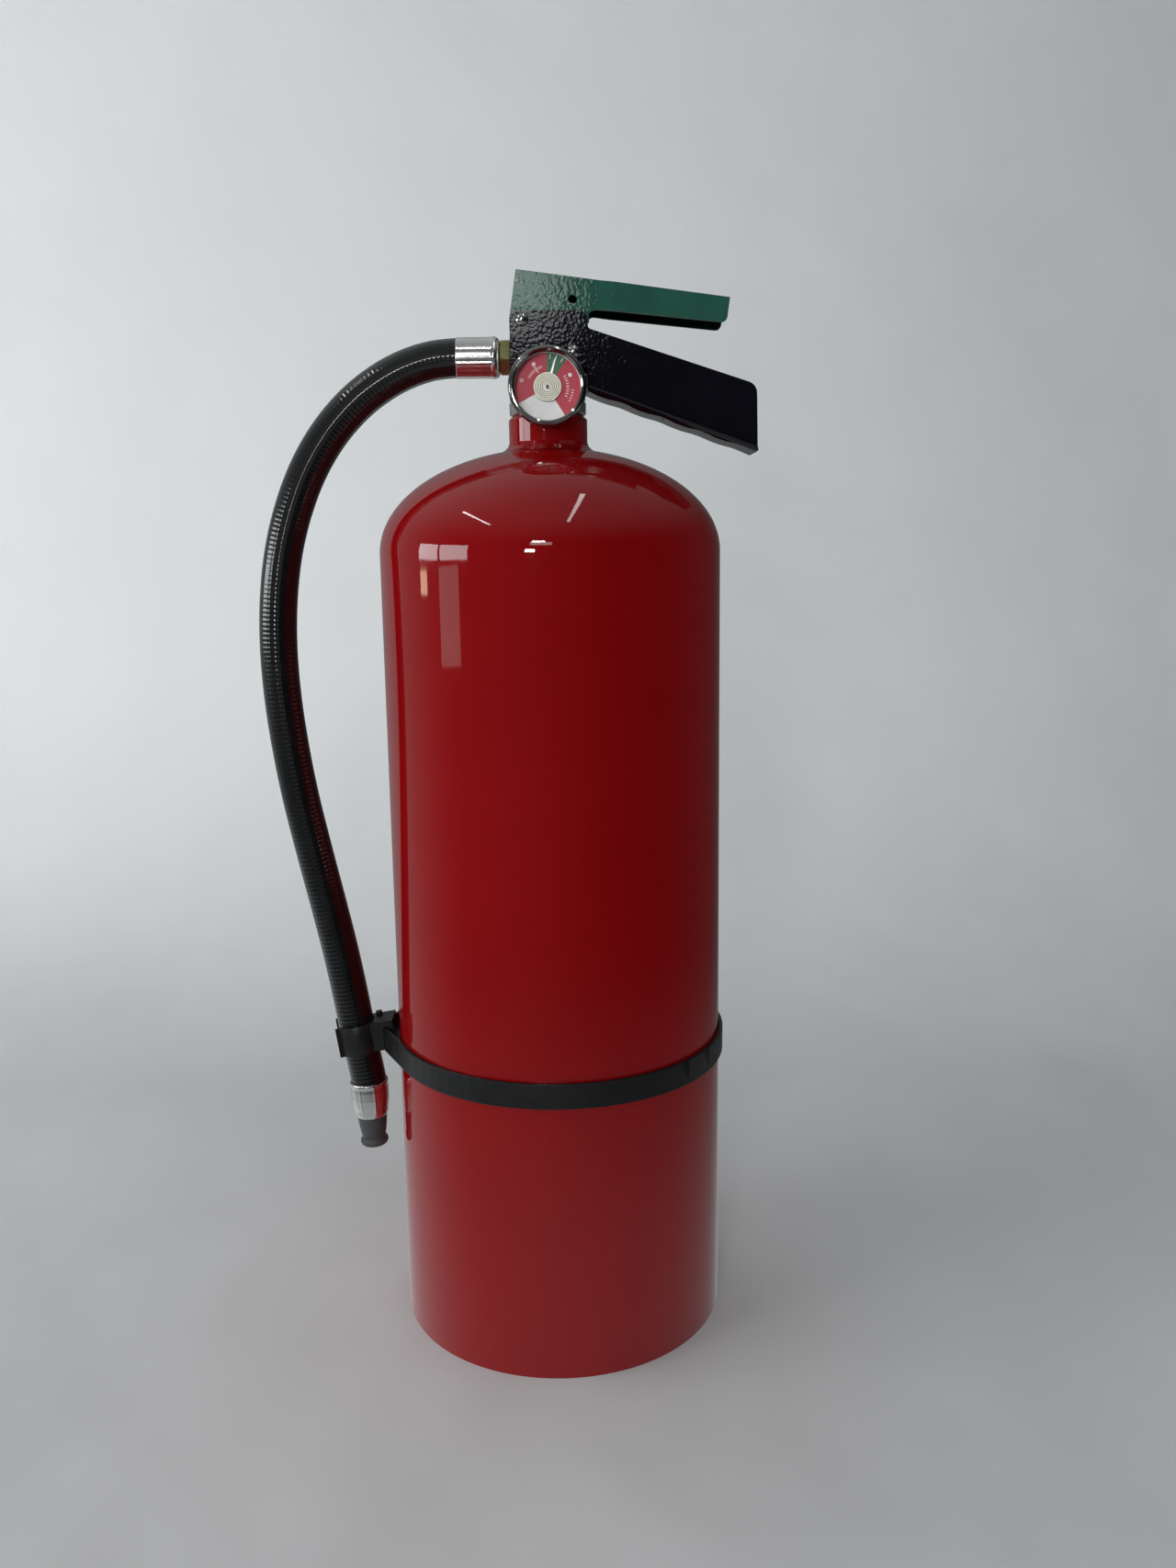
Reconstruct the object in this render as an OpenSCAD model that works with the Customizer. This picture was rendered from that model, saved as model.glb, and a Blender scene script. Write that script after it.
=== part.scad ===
// Dry-powder fire extinguisher, standing on its foot ring. Millimetres, +Z up.
// Origin: centre of the foot ring, on the floor. +X: towards the carrying handle.
// -X: towards the hose. -Y: the side that the pressure gauge faces.

/* [Shell] */
// Outer radius of the steel shell
shell_r = 89; // [88.5:0.1:89.2]
// Wall thickness of the shell
shell_wall = 1.8; // [1.2:0.1:2.2]
// Height of the straight wall, from the floor to the foot of the dome
wall_h = 420.6; // [415:0.1:422]
// Rise of the domed top above the straight wall
dome_h = 53.2; // [50:0.1:53.4]
// Height of the foot ring below the shell's seam
foot_h = 15; // [12:0.5:18]
// Height of the base dish's crown above the floor
dish_top = 42; // [38:1:60]

/* [Neck and valve] */
// Outer radius of the neck collar
collar_r = 20.3; // [20:0.1:21]
// Height of the collar's top face
collar_top = 489.5; // [489:0.1:490]
// Radius of the thread between collar and valve
neck_thread_r = 15; // [14:0.5:16]
// Radius of the round lower part of the valve body
body_r = 19.5; // [19:0.1:19.6]
// Height of the outlet's axis
outlet_z = 519.4; // [519:0.1:520]
// Radius of the valve stem
stem_r = 3; // [2:0.1:3.5]
// Radial running clearance of stem, needle and lever pivot
running = 0.06; // [0.03:0.01:0.09]

/* [Lever and handle] */
// Sheet thickness of the handle
handle_sheet = 2; // [1.5:0.1:2]
// Half of the handle channel's outer width
handle_half = 14; // [13.8:0.1:14]
// Sheet thickness of the lever
lever_sheet = 1.8; // [1.5:0.1:1.8]
// Half width of the lever between the handle's cheeks
lever_rear_half = 11.7; // [11.5:0.1:11.8]
// Half width of the lever along its grip
lever_grip_half = 13.2; // [13:0.1:13.9]
// Length of the lever's top edge
lever_l = 108.4; // [100:0.1:109]
// Downward slope of the lever at rest, in degrees
lever_slope = 7.7; // [7:0.1:8]
// Radius of the rivets' shanks
rivet_r = 2.5; // [2:0.1:3]
// Radius of the hole for the safety pull pin
pull_pin_r = 2.2; // [1.5:0.1:2.5]

/* [Gauge] */
// Height of the gauge's centre
gauge_z = 501.4; // [501:0.1:502]
// Outer radius of the gauge's bezel
bezel_r = 19.5; // [18:0.1:20]
// Radius of the dial
dial_r = 16.9; // [15:0.1:17]
// Angle of the needle at rest, clockwise from the top, in degrees
needle_angle = 17; // [0:1:35]

/* [Hose and nozzle] */
// Outer radius of the hose
hose_r = 9.8; // [9:0.1:9.8]
// Outer radius of the crimped ferrules
ferrule_r = 10.5; // [10.4:0.1:11]
// Outer radius of the nozzle's lip
nozzle_lip_r = 7.8; // [7:0.1:9]

/* [Band and clip] */
// Height of the retaining band's middle
band_z = 155.3; // [150:0.1:156]
// Width of the band
band_w = 13.1; // [12:0.1:14]
// Thickness of the band
band_t = 2; // [1:0.1:2.2]
// Radius of the band's mid line
band_mid_r = 90.4; // [90.4:0.1:91]
// Tilt of the band, its hose side higher, in degrees
band_tilt = 0.3; // [0:0.1:0.4]

/* [Hidden] */
$fn = 96;
red = "#7d1216";
green = "#2c5a4b";
black = "#15151c";
nickel = "#b9b9b4";
zinc = "#8d8550";
steel = "#9a9aa0";
rubber = "#181a1c";
grey = "#46484b";
clear_plastic = "#dfe6e8";

// Shell
dome_steps = 24;
neck_hole_r = 20.1;
dish_knuckle_r = 76;
dish_rim_z = 24;
dish_sheet = 2;
dish_r = shell_r - shell_wall - 0.05;

// Neck and valve
collar_foot_r = 24.5;
collar_foot_z = 475.5;
spigot_bottom = 462;
flange_h = 7.3;
block_bottom = 512.5;
block_top = 525.4;
block_half_x = 17.8;
block_half_y = handle_half - handle_sheet - 0.05;
ear_top = 541;
ear_half_y = lever_rear_half - lever_sheet - 0.3;
inlet_r = 8;
seat_r = 4.5;
seat_bottom = 503;
seat_top = 507;
chamber_r = 6.5;
chamber_top = 525;
gland_top = 534;
gland_r = 4.3;
gauge_port_r = 5.05;
gauge_port_depth = 9;
outlet_thread_r = 6;
outlet_thread_x = -9;
spot_face_r = 10.2;
stem_bottom = 488;
stem_cap_r = 5;
stem_cap_bottom = 545;
stem_dome_r = 6;
stem_dome_z = 550;
seal_r = 6.4;
seal_top = 502.7;
adapter_top = 474;

// Lever and handle. The lever's outline is drawn from its top rear corner, along its top edge.
lever_x = -14.8;
lever_z = 560.2;
lever_end_depth = 12.4;
lever_root_depth = 14.2;
lever_root_x = 39;
joggle_x = [42, 50];
pivot = [5.92, -24.02];
pivot_lobe_r = 6.5;
pivot_x = lever_x + pivot[0] * cos(lever_slope) + pivot[1] * sin(lever_slope);
pivot_z = lever_z - pivot[0] * sin(lever_slope) + pivot[1] * cos(lever_slope);
pull_pin = [29.9, -10.7];
rivet_x = 13.4;
rivet_z = 520;
rivet_head_r = 3.4;
rivet_head_h = 2.4;
cheek_x = [-18.5, 20.6];
cheek_z = [512.7, 540];
grip_slope = 18.4;
grip_x = [20.2, 106.6];
grip_low_z = 500.9;
grip_low_slope = 0.3556;
wave_h = 0.4;
wave_pitch = 20.1;
wave_x = 33;
grip_bend_r = 4.5;

// Gauge, by distance in front of the shell's axis
gauge_back_y = -21;
gauge_case_r = 18.9;
gauge_front_y = -33;
dial_y = -25;
needle_y = -26.1;
coil_y = -26.7;
coil_r = 7;
coil_turns = 6;
coil_bore = 1.7;
post_r = 0.9;

// Hose: its centre line in the plane of the handle, from inside the upper ferrule to inside the lower one
hose_route = [
    [-27, 519.4], [-47, 519.4], [-63, 517.2], [-80, 510.6], [-97, 499.3], [-112, 484],
    [-124, 466], [-133, 446], [-139.6, 424], [-143.6, 400], [-145.2, 375], [-144.6, 349],
    [-142, 321], [-137.8, 292], [-132.2, 263], [-126.2, 234], [-120.8, 207], [-116.4, 181],
    [-112.5, 155], [-108.2, 129], [-107.6, 117]
];
hose_sides = 12;
tail_end_x = -44;
barbs_x = -26;
hex_x = [-23.8, -19];
hex_r = 9.6;
hex_turn = 18;
ferrule_x = [-46.3, -24];
tail_bore_r = 3.5;
nozzle_top = [-108.2, 129];
nozzle_tilt = 2.8;
nozzle_ferrule_r = 10.9;
nozzle_ferrule_h = 21;
nozzle_h = 39;
nozzle_bore_r = 3.4;

// Band and clip
clip_strap_x = -96.3;
clip_half_y = 8.3;
clip_reach = 21.4;
clip_h = 16.6;
clip_hose_x = -112.7;
clip_hose_z = 155.5;
clip_hose_tilt = 8.2;
clip_gap = 0.4;
clip_arm = 1.8;
clip_mouth = 44;
clip_pin_x = 12.7;
clip_pin_y = 5;
clip_pin_r = 1.3;

// Helpers

// Points on an arc in a plane
function arc(x, y, r, from, to, steps = 8) =
    [for (i = [0:steps]) let (a = from + (to - from) * i / steps) [x + r * cos(a), y + r * sin(a)]];

function unit(v) = v / norm(v);

// Points of a dome whose section is a quarter ellipse, from its foot up to the radius of its hole
function dome(r, rise, hole) =
    let (stop = acos(hole / r))
    [for (i = [0:dome_steps]) let (a = stop * i / dome_steps) [r * cos(a), wall_h + rise * sin(a)]];

// Height of the dome's outer face at a radius
function dome_z(r) = wall_h + dome_h * sqrt(1 - pow(r / shell_r, 2));

// The handle grip's wavy lower edge
function grip_low(x) =
    grip_low_z - grip_low_slope * (x - grip_x[0]) + wave_h * sin(360 * (x - wave_x) / wave_pitch);

// A tube swept along a path: a ring at each point, across the given sideways directions
module sweep(path, sideways, r, sides) {
    last = len(path) - 1;
    points = [
        for (i = [0:last])
            let (t = unit(path[min(i + 1, last)] - path[max(i - 1, 0)]), up = cross(t, sideways[i]))
            for (k = [0:sides - 1])
                path[i] + r * (cos(360 * k / sides) * sideways[i] + sin(360 * k / sides) * up)
    ];
    near_cap = [for (k = [0:sides - 1]) k];
    far_cap = [for (k = [sides - 1:-1:0]) last * sides + k];
    walls = [
        for (i = [0:last - 1], k = [0:sides - 1])
            let (a = i * sides + k, b = i * sides + (k + 1) % sides)
            [a, a + sides, b + sides, b]
    ];
    polyhedron(points, concat([near_cap, far_cap], walls), convexity = 6);
}

// An outline in X and Z, extruded from one Y to another
module side(from, to) {
    translate([0, to, 0]) rotate([90, 0, 0]) linear_extrude(to - from) children();
}

// Something drawn along +Z, turned to point along -Y from the gauge's axis
module forward(y) {
    translate([0, y, gauge_z]) rotate([90, 0, 0]) children();
}

// Something drawn along +Z, turned to point along -X from the outlet's axis
module outward(x) {
    translate([x, 0, outlet_z]) rotate([0, -90, 0]) children();
}

// Something drawn from the lever's top rear corner, put in its place
module lever_place() {
    translate([lever_x, 0, lever_z]) rotate([0, lever_slope, 0]) children();
}

// A bore along Y through an X and Z point
module cross_bore(x, z, r, half) {
    translate([x, half, z]) rotate([90, 0, 0]) cylinder(r = r, h = 2 * half);
}

// A torus
module torus(major, minor) {
    rotate_extrude() translate([major, 0]) circle(r = minor, $fn = 32);
}

// A rivet along Y with a domed head at each end
module rivet(x, z) {
    cross_bore(x, z, rivet_r, handle_half);
    for (turn = [90, -90])
        translate([x, 0, z]) rotate([turn, 0, 0]) translate([0, 0, handle_half])
            rotate_extrude()
                polygon(concat([[0, 0]], [for (a = [0:10:90]) [rivet_head_r * cos(a), rivet_head_h * sin(a)]]));
}

// Shell

module shell() {
    inner = dome(shell_r - shell_wall, dome_h - shell_wall, neck_hole_r);
    color(red) rotate_extrude() polygon(concat(
        [[shell_r - shell_wall, foot_h], [shell_r, foot_h]],
        dome(shell_r, dome_h, neck_hole_r),
        [for (i = [dome_steps:-1:0]) inner[i]]
    ));
}

// The ring that the shell stands on, welded under it and ground flush
module foot_ring() {
    color(red) difference() {
        cylinder(r = shell_r, h = foot_h - 0.02);
        translate([0, 0, -1]) cylinder(r = shell_r - shell_wall, h = foot_h + 2);
    }
}

// The inward dish, its rim turned down inside the shell's wall
module base_dish() {
    crown_r = (pow(dish_knuckle_r, 2) + pow(dish_top - dish_rim_z, 2)) / (2 * (dish_top - dish_rim_z));
    half_angle = asin(dish_knuckle_r / crown_r);
    color(red) rotate_extrude() polygon(concat(
        [for (i = [0:12]) let (a = half_angle * i / 12)
            [crown_r * sin(a), dish_top - crown_r * (1 - cos(a))]],
        [[83, 21.6], [dish_r, 18.5], [dish_r, foot_h + 0.3], [dish_r - dish_sheet, foot_h + 0.3],
         [dish_r - dish_sheet, 17.6], [81.5, 20]],
        [for (i = [12:-1:0]) let (a = half_angle * i / 12)
            [crown_r * sin(a), dish_top - dish_sheet - crown_r * (1 - cos(a))]]
    ));
}

// Neck and valve

module neck_collar() {
    seat_gap = 0.1;
    color(red) rotate_extrude() polygon(concat(
        [[neck_thread_r, spigot_bottom], [neck_hole_r - 0.1, spigot_bottom],
         [neck_hole_r - 0.1, dome_z(neck_hole_r) + seat_gap],
         [collar_foot_r, dome_z(collar_foot_r) + seat_gap]],
        [[collar_r + 2.4, collar_foot_z - 2.7], [collar_r + 0.7, collar_foot_z - 1], [collar_r, collar_foot_z + 1]],
        [[collar_r, collar_top - 1.6], [collar_r - 1.6, collar_top]],
        [[neck_thread_r + 2.3, collar_top], [neck_thread_r + 2.3, collar_top - 2.2],
         [neck_thread_r, collar_top - 2.2]]
    ));
}

module neck_o_ring() {
    color(rubber) translate([0, 0, collar_top - 1.1]) torus(neck_thread_r + 1.1, 1.02);
}

// The threaded spigot below the flange: a row of shallow grooves
module neck_thread() {
    pitch = 2;
    turns = 11;
    rotate_extrude() polygon(concat(
        [[0, spigot_bottom]],
        [for (i = [0:turns - 1], s = [[neck_thread_r - 0.9, 0.1], [neck_thread_r - 0.1, 0.9],
                                      [neck_thread_r - 0.1, 1.2], [neck_thread_r - 0.9, 1.9]])
            [s[0], spigot_bottom + i * pitch + s[1]]],
        [[neck_thread_r - 0.9, collar_top], [0, collar_top]]
    ));
}

module valve_body() {
    color(nickel) difference() {
        union() {
            neck_thread();
            translate([0, 0, collar_top]) rotate_extrude() polygon([
                [0, 0], [body_r - 1.4, 0], [body_r + 0.3, 1.4], [body_r + 0.3, flange_h - 0.6],
                [body_r - 0.5, flange_h], [body_r - 0.5, flange_h + 0.5], [body_r, flange_h + 0.9],
                [body_r, block_bottom - collar_top - 1], [body_r - 1, block_bottom - collar_top],
                [0, block_bottom - collar_top]]);
            translate([-block_half_x, -block_half_y, block_bottom - 1])
                cube([2 * block_half_x, 2 * block_half_y, block_top - block_bottom + 1]);
            side(-ear_half_y, ear_half_y) polygon(concat(
                [[-block_half_x, block_top - 1], [block_half_x, block_top - 1]],
                arc(block_half_x - 5, ear_top - 5, 5, 0, 90), arc(-block_half_x + 5, ear_top - 5, 5, 90, 180)));
        }
        translate([0, 0, spigot_bottom - 1]) cylinder(r = inlet_r, h = seat_bottom - spigot_bottom + 1);
        translate([0, 0, seat_bottom - 1]) cylinder(r = seat_r, h = seat_top - seat_bottom + 2);
        translate([0, 0, seat_top]) cylinder(r = chamber_r, h = chamber_top - seat_top);
        translate([0, 0, chamber_top - 1]) cylinder(r = gland_r, h = gland_top - chamber_top + 1);
        translate([0, 0, gland_top - 1]) cylinder(r = stem_r + running, h = 30);
        outward(0) cylinder(r = seat_r, h = 30);
        outward(outlet_thread_x) cylinder(r = outlet_thread_r, h = 30);
        outward(-block_half_x) cylinder(r = spot_face_r, h = 10);
        forward(-gauge_port_depth) cylinder(r = gauge_port_r, h = 20);
        forward(0) cylinder(r = 1.2, h = 20);
        cross_bore(pivot_x, pivot_z, rivet_r + running, 20);
        cross_bore(rivet_x, rivet_z, rivet_r + running, 20);
    }
}

// Holds the spring up and the siphon tube down
module siphon_adapter() {
    color(clear_plastic) rotate_extrude() polygon([
        [5, 440], [6.5, 440], [6.5, 456], [12, 456], [12, spigot_bottom - 0.1],
        [inlet_r - 0.1, spigot_bottom - 0.1], [inlet_r - 0.1, adapter_top], [5, adapter_top]]);
}

// The dip tube, its foot cut on a slant so that powder can get in
module siphon_tube() {
    tube_r = 8;
    tube_bore = 6.6;
    tube_foot = 46;
    color(clear_plastic) difference() {
        translate([0, 0, tube_foot]) cylinder(r = tube_r, h = 455.9 - tube_foot);
        translate([0, 0, tube_foot - 1]) cylinder(r = tube_bore, h = 420);
        translate([0, 0, tube_foot]) rotate([0, 35, 0]) translate([-20, -20, -20]) cube([40, 40, 20]);
    }
}

module valve_spring() {
    coils = 7;
    steps = 16;
    wire = 0.65;
    coil = 5.6;
    low = adapter_top + wire + 0.05;
    high = seal_top - 6 - wire - 0.05;
    turn = [for (i = [0:coils * steps]) 360 * i / steps];
    path = [for (a = turn) [coil * cos(a), coil * sin(a), low + (high - low) * a / (360 * coils)]];
    sideways = [for (a = turn) [cos(a), sin(a), 0]];
    color(steel) sweep(path, sideways, wire, 6);
}

// The moving stem: its cap under the lever, its shaft, and the disc that carries the seal
module valve_stem() {
    disc = seal_top - 2;
    groove = gland_top - 2.8;
    color(steel) rotate_extrude() polygon(concat(
        [[0, stem_bottom], [stem_r, stem_bottom], [stem_r, disc - 4], [seal_r, disc - 4], [seal_r, disc],
         [stem_r - 0.8, disc], [stem_r - 0.8, seal_top], [stem_r, seal_top],
         [stem_r, groove], [stem_r - 0.7, groove], [stem_r - 0.7, groove + 2.2], [stem_r, groove + 2.2], [stem_r, stem_cap_bottom], [stem_cap_r, stem_cap_bottom]],
        [for (i = [0:6]) let (a = acos(stem_cap_r / stem_dome_r) + (90 - acos(stem_cap_r / stem_dome_r)) * i / 6)
            [stem_dome_r * cos(a), stem_dome_z + stem_dome_r * sin(a)]]
    ));
}

// Rubber disc on the stem, which closes the seat from below
module stem_seal() {
    color(rubber) translate([0, 0, seal_top - 2]) difference() {
        cylinder(r = seal_r, h = 2);
        translate([0, 0, -1]) cylinder(r = stem_r - 0.75, h = 4);
    }
}

module stem_o_ring() {
    color(rubber) translate([0, 0, gland_top - 1.7]) torus(stem_r + 0.3, 0.95);
}

// Lever and handle

module handle_outline() {
    notch_r = 2.6;
    top_r = 4.7;
    rear_r = 4;
    front_r = 6;
    notch = [cheek_x[1] + notch_r, 533.3];
    corner = [grip_x[1], 503.2];
    reach = front_r * tan((90 - grip_slope) / 2);
    polygon(concat(
        arc(cheek_x[0] + rear_r, cheek_z[1] - rear_r, rear_r, 180, 90),
        arc(cheek_x[1] - top_r, cheek_z[1] - top_r, top_r, 90, 0),
        arc(notch[0], notch[1], notch_r, 180, 270 - grip_slope),
        arc(corner[0] - front_r, corner[1] - reach, front_r, 90 - grip_slope, 0),
        [[grip_x[1] + 0.5, 473], [grip_x[1] + 1.2, 470.9], [grip_x[1], grip_low(grip_x[1])]],
        [for (i = [1:43]) let (x = grip_x[1] - (grip_x[1] - grip_x[0]) * i / 43) [x, grip_low(x)]],
        [[grip_x[0], cheek_z[0]], [cheek_x[0] + 1.2, cheek_z[0]], [cheek_x[0], cheek_z[0] + 1.2]]
    ));
}

// Everything between the handle's cheeks and above its web
module handle_inside() {
    polygon(concat(
        [[cheek_x[0] - 5, 600], [cheek_x[0] - 5, 400], [grip_x[0] - 0.01, 400]],
        [for (i = [0:22]) let (x = grip_x[0] + 92 * i / 22) [x, grip_low(x) + handle_sheet]],
        [[grip_x[0] + 92, 600]]
    ));
}

// The sharp corners left outside the bends along the grip's lower edges
module grip_bend(half, r, up) {
    slope = atan(grip_low_slope);
    for (turn = [1, -1])
        translate([grip_x[0], 0, grip_low_z - wave_h + up]) rotate([0, slope, 0])
            rotate([90, 0, 90]) linear_extrude(120) scale([turn, 1]) difference() {
                translate([half - r, -5]) square([r + 5, r + 5]);
                translate([half - r, r]) circle(r = r);
            }
}

module carrying_handle() {
    color(black) difference() {
        side(-handle_half, handle_half) handle_outline();
        difference() {
            side(handle_sheet - handle_half, handle_half - handle_sheet) handle_inside();
            grip_bend(handle_half - handle_sheet, grip_bend_r - handle_sheet, handle_sheet);
        }
        grip_bend(handle_half, grip_bend_r, 0);
        cross_bore(pivot_x, pivot_z, rivet_r + running, 20);
        cross_bore(rivet_x, rivet_z, rivet_r + running, 20);
    }
}

module handle_rivet() {
    color(steel) rivet(rivet_x, rivet_z);
}

module lever_rivet() {
    color(steel) rivet(pivot_x, pivot_z);
}

module lever_outline() {
    corner = 3;
    root_r = 3;
    polygon(concat(
        [[0, 0], [lever_l, 0]],
        arc(lever_l - corner, corner - lever_end_depth, corner, 0, -90),
        arc(lever_root_x + root_r, -lever_root_depth - root_r, root_r, 87, 180),
        [[lever_root_x + 0.6, -20.6], [lever_root_x - 1.6, -21.9]],
        arc(pivot[0], pivot[1], pivot_lobe_r, -74, -180)
    ));
}

// The lever seen from above: narrow between the cheeks, then stepped out to its grip
module lever_plan(inset) {
    rear = lever_rear_half - inset;
    grip = lever_grip_half - inset;
    polygon([
        [-10, -rear], [joggle_x[0], -rear], [joggle_x[1], -grip], [120, -grip],
        [120, grip], [joggle_x[1], grip], [joggle_x[0], rear], [-10, rear]]);
}

module lever() {
    deep = 40;
    color(green) lever_place() difference() {
        intersection() {
            side(-15, 15) lever_outline();
            translate([0, 0, -deep]) linear_extrude(deep + 1) lever_plan(0);
        }
        translate([0, 0, -deep]) linear_extrude(deep - lever_sheet) lever_plan(lever_sheet);
        cross_bore(pivot[0], pivot[1], rivet_r + running, 20);
        cross_bore(pull_pin[0], pull_pin[1], pull_pin_r, 20);
    }
}

// Gauge

// The threaded shank that carries the gauge, drilled for the pressure
module gauge_stem() {
    color(zinc) forward(-gauge_port_depth - 0.2) difference() {
        cylinder(r = gauge_port_r - 0.05, h = -gauge_back_y - gauge_port_depth - 0.25);
        translate([0, 0, -1]) cylinder(r = 1.2, h = 30);
    }
}

module gauge_case() {
    color(nickel) forward(gauge_back_y) difference() {
        cylinder(r = gauge_case_r, h = 7);
        translate([0, 0, 1.2]) cylinder(r = dial_r + 0.2, h = 10);
        translate([0, 0, -1]) cylinder(r = 1.2, h = 10);
    }
}

// The crimped front ring
module gauge_bezel() {
    depth = -gauge_front_y - 28.05;
    color(nickel) forward(-28.05) difference() {
        rotate_extrude() polygon(concat(
            [[dial_r + 0.3, 0], [bezel_r, 0]],
            arc(bezel_r - 2, depth - 2, 2, 0, 90, 6),
            [[dial_r - 0.4, depth - 0.8], [dial_r - 0.4, depth - 1.4], [dial_r + 0.3, depth - 1.4]]
        ));
    }
}

module gauge_dial() {
    color("white") forward(dial_y) difference() {
        cylinder(r = dial_r, h = 0.5);
        translate([0, 0, -1]) cylinder(r = post_r + 0.3, h = 3);
    }
}

// The fixed pin that the needle and the coil sit on
module gauge_post() {
    color(steel) forward(gauge_back_y - 1.3) cylinder(r = post_r, h = 7.6);
}

// The pointer and its eye round the post
module gauge_needle() {
    thin = 0.35;
    reach = 15.4;
    color("white") forward(needle_y) difference() {
        union() {
            cylinder(r = 1.9, h = thin);
            rotate([0, 0, -needle_angle]) linear_extrude(thin)
                polygon([[-0.75, 0], [-0.3, reach - 2], [0, reach], [0.3, reach - 2], [0.75, 0]]);
        }
        translate([0, 0, -1]) cylinder(r = post_r + running, h = 3);
    }
}

// The coiled pressure tube, seen as rings round the post
module bourdon_coil() {
    step = (coil_r - coil_bore) / coil_turns;
    color(nickel) forward(coil_y) rotate_extrude() polygon(concat(
        [[coil_bore, 0]], [[coil_r, 0]],
        [for (i = [coil_turns - 1:-1:0]) each [
            [coil_bore + (i + 1) * step, 0.4], [coil_bore + (i + 0.75) * step, 0.9],
            [coil_bore + (i + 0.25) * step, 0.9], [coil_bore + i * step, 0.4]]]
    ));
}

module gauge_lens() {
    color(clear_plastic) forward(-30.2) cylinder(r = dial_r + 0.2, h = 1.3);
}

// Hose and nozzle

// The barbed tail with its hexagon, screwed into the valve's outlet
module hose_tail() {
    barbs = 4;
    barb = (barbs_x - tail_end_x) / barbs;
    hex_w = hex_x[1] - hex_x[0];
    color(zinc) difference() {
        union() {
            outward(outlet_thread_x - 0.4) cylinder(r = outlet_thread_r - 0.05, h = 11);
            outward(hex_x[1]) rotate([0, 0, hex_turn]) intersection() {
                cylinder(r = hex_r, h = hex_w, $fn = 6);
                rotate_extrude() polygon([
                    [0, 0], [hex_r, 0], [hex_r, hex_w - 0.9], [hex_r - 1.3, hex_w], [0, hex_w]]);
            }
            outward(hex_x[0] + 0.1) cylinder(r = 5.6, h = 3);
            outward(barbs_x) rotate_extrude() polygon(concat(
                [[0, 0]],
                [for (i = [0:barbs - 1]) each [[6.6, i * barb], [5.6, (i + 1) * barb]]],
                [[0, barbs * barb]]));
        }
        outward(0) cylinder(r = tail_bore_r, h = 60);
    }
}

module tail_washer() {
    color(rubber) outward(-block_half_x - 0.05) difference() {
        cylinder(r = 8.6, h = 1.1);
        translate([0, 0, -1]) cylinder(r = outlet_thread_r, h = 4);
    }
}

// Crimped aluminium sleeve over the hose's upper end
module valve_ferrule() {
    long = ferrule_x[1] - ferrule_x[0];
    color(steel) outward(ferrule_x[1]) rotate_extrude() polygon([
        [6.7, 0], [ferrule_r - 2.6, 0], [ferrule_r - 1.2, 0.6], [ferrule_r - 0.4, 1.5], [ferrule_r, 2.8],
        [ferrule_r, long], [hose_r + 0.1, long], [hose_r + 0.1, 2.8], [hose_r - 1, 1.5], [6.7, 1.2]]);
}

module hose() {
    color(rubber) sweep(
        [for (p = hose_route) [p[0], 0, p[1]]], [for (p = hose_route) [0, 1, 0]], hose_r, hose_sides);
}

// Something drawn along +Z, put along the hose's lower end and pointing down it
module nozzle_place() {
    translate([nozzle_top[0], 0, nozzle_top[1]]) rotate([0, 180 - nozzle_tilt, 0]) children();
}

// Crimped aluminium sleeve over the hose's lower end, drawn in at its foot
module nozzle_ferrule() {
    tall = nozzle_ferrule_h;
    color(steel) nozzle_place() rotate_extrude() polygon([
        [hose_r + 0.1, 0], [nozzle_ferrule_r - 0.1, 0], [nozzle_ferrule_r, 5], [nozzle_ferrule_r - 0.15, 10],
        [nozzle_ferrule_r - 0.5, 14], [nozzle_ferrule_r - 1.5, 18.5], [8.7, tall], [7.3, tall],
        [7.3, tall - 1.5], [hose_r - 0.9, 15.5], [hose_r + 0.1, 12.5]]);
}

// The moulded nozzle, its barbed tail inside the hose
module nozzle() {
    top = nozzle_ferrule_h + 0.1;
    lip = nozzle_h - 2.9;
    color(grey) nozzle_place() rotate_extrude() polygon(concat(
        [[nozzle_bore_r, 2], [5.2, 2], [6.2, 5], [5.4, 5], [6.2, 8.5], [5.4, 8.5], [6.2, 12], [5.6, 15]],
        [[5.6, top], [8.4, top], [8.3, top + 0.7], [7.6, top + 6.4], [7, lip - 5], [6.5, lip - 3.3]],
        arc(nozzle_lip_r - 2.6, lip, 2.6, -62, 60, 7),
        [[nozzle_bore_r + 1.6, nozzle_h], [nozzle_bore_r + 1.2, nozzle_h - 1.2], [nozzle_bore_r, nozzle_h - 10]]
    ));
}

// Band and clip

// The strap's edge at a distance from its mid line: round the shell, then out to the clip
function strap(d) =
    let (leave = 154.4)
    concat(
        [for (i = [0:72]) let (a = -leave + 2 * leave * i / 72) (band_mid_r + d) * [cos(a), sin(a)]],
        [[clip_strap_x - d, clip_half_y + 0.6], [clip_strap_x - d, -clip_half_y - 0.6]]);

module retaining_band() {
    color(rubber) translate([0, 0, band_z]) rotate([0, band_tilt, 0]) translate([0, 0, -band_w / 2])
        linear_extrude(band_w) difference() {
            polygon(strap(band_t / 2));
            polygon(strap(-band_t / 2));
        }
}

// Something drawn round the hose's axis at the clip
module clip_place() {
    translate([clip_hose_x, 0, clip_hose_z]) rotate([0, -clip_hose_tilt, 0]) children();
}

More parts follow.
